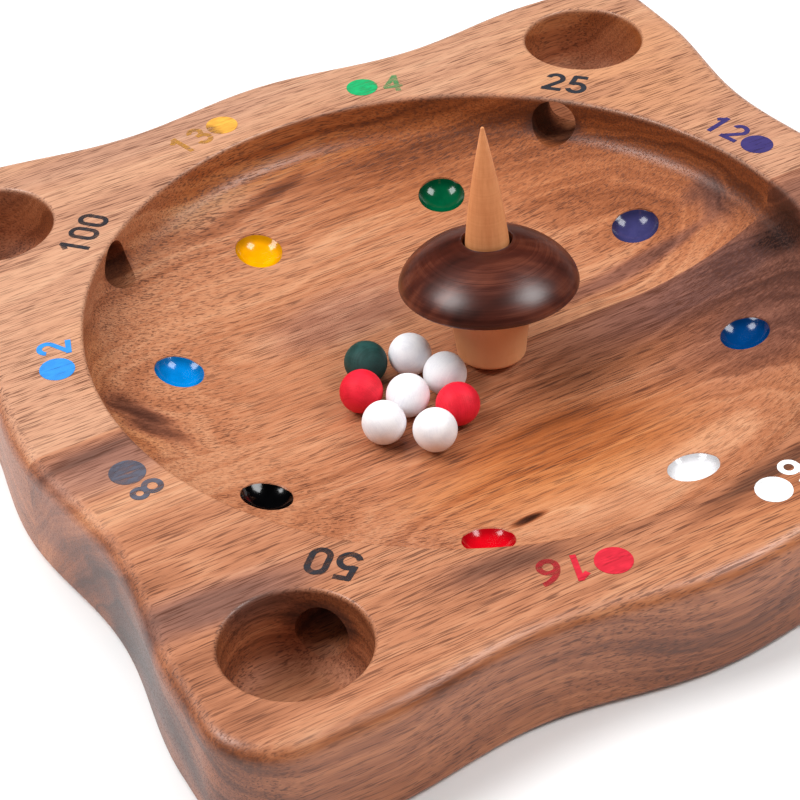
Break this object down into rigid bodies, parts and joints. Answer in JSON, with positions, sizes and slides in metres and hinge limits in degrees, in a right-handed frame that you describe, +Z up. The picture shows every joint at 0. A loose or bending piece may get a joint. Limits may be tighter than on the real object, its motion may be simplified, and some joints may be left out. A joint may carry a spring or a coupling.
{
  "type": "spinning top roulette board",
  "caption": "Wavy-edged hardwood game board with a round bowl, corner cups, tunnels and coloured pits, a wooden spinning top and loose painted balls.",
  "frame": {"origin": "middle of the board's underside", "axes": "+Z up out of the bowl; +X to the right side of the board, between the 25 and 200 cups; +Y to the back"},
  "size_m": [0.265, 0.265, 0.0825],
  "materials": {
    "wood_back": "satin oiled hardwood",
    "wood_front": "satin oiled hardwood",
    "enamel_navy": "gloss enamel",
    "enamel_green": "gloss enamel",
    "enamel_yellow": "gloss enamel",
    "enamel_light_blue": "gloss enamel",
    "enamel_black": "gloss enamel",
    "enamel_red": "gloss enamel",
    "enamel_white": "gloss enamel",
    "enamel_blue": "gloss enamel",
    "paint_navy": "thin matt paint",
    "paint_green": "thin matt paint",
    "paint_orange": "thin matt paint",
    "paint_light_blue": "thin matt paint",
    "paint_grey": "thin matt paint",
    "paint_red": "thin matt paint",
    "paint_white": "thin matt paint",
    "paint_blue": "thin matt paint",
    "paint_corner": "thin matt paint",
    "honey_wood": "satin turned wood",
    "dark_wood": "satin lacquered dark wood",
    "white_ball_paint": "matt painted wood",
    "red_ball_paint": "matt painted wood",
    "green_ball_paint": "matt painted wood"
  },
  "bodies": {
    "board": {"back_plank": "wood_back", "front_plank": "wood_front", "enamel_navy": "enamel_navy", "enamel_green": "enamel_green", "enamel_yellow": "enamel_yellow", "enamel_light_blue": "enamel_light_blue", "enamel_black": "enamel_black", "enamel_red": "enamel_red", "enamel_white": "enamel_white", "enamel_blue": "enamel_blue", "score_12_navy": "paint_navy", "score_4_green": "paint_green", "score_13_orange": "paint_orange", "score_2_light_blue": "paint_light_blue", "score_8_grey": "paint_grey", "score_16_red": "paint_red", "score_6_white": "paint_white", "score_10_blue": "paint_blue", "score_25_corner": "paint_corner", "score_100_corner": "paint_corner", "score_50_corner": "paint_corner", "score_200_corner": "paint_corner"},
    "spinning_top": {"spindle": "honey_wood", "flywheel_disc": "dark_wood"},
    "white_ball_1": {"white_ball_1": "white_ball_paint"},
    "white_ball_2": {"white_ball_2": "white_ball_paint"},
    "white_ball_3": {"white_ball_3": "white_ball_paint"},
    "white_ball_4": {"white_ball_4": "white_ball_paint"},
    "white_ball_5": {"white_ball_5": "white_ball_paint"},
    "red_ball_1": {"red_ball_1": "red_ball_paint"},
    "red_ball_2": {"red_ball_2": "red_ball_paint"},
    "green_ball": {"green_ball": "green_ball_paint"}
  },
  "joints": [
    {"name": "top_spin", "type": "hinge", "parent": "board", "child": "spinning_top", "pos_m": [0.0077, -0.0029, 0.0098], "axis": [0.025, 0.0871, 0.9959], "continuous": true},
    {"name": "white_ball_1_roll", "type": "slide", "parent": "board", "child": "white_ball_1", "axis": [0, 1, 0], "range_m": [0, 0.04]},
    {"name": "white_ball_2_roll", "type": "slide", "parent": "board", "child": "white_ball_2", "axis": [0.766, -0.6428, 0], "range_m": [0, 0.04]},
    {"name": "white_ball_3_lift", "type": "slide", "parent": "board", "child": "white_ball_3", "axis": [0, 0, 1], "range_m": [0, 0.09]},
    {"name": "white_ball_4_roll", "type": "slide", "parent": "board", "child": "white_ball_4", "axis": [-0.9063, -0.4226, 0], "range_m": [0, 0.015]},
    {"name": "white_ball_5_roll", "type": "slide", "parent": "board", "child": "white_ball_5", "axis": [-0.2588, -0.9659, 0], "range_m": [0, 0.017]},
    {"name": "red_ball_1_roll", "type": "slide", "parent": "board", "child": "red_ball_1", "axis": [-0.9848, 0.1736, 0], "range_m": [0, 0.02]},
    {"name": "red_ball_2_roll", "type": "slide", "parent": "board", "child": "red_ball_2", "axis": [0.5, -0.866, 0], "range_m": [0, 0.03]},
    {"name": "green_ball_roll", "type": "slide", "parent": "board", "child": "green_ball", "axis": [-0.5, 0.866, 0], "range_m": [0, 0.03]}
  ]
}
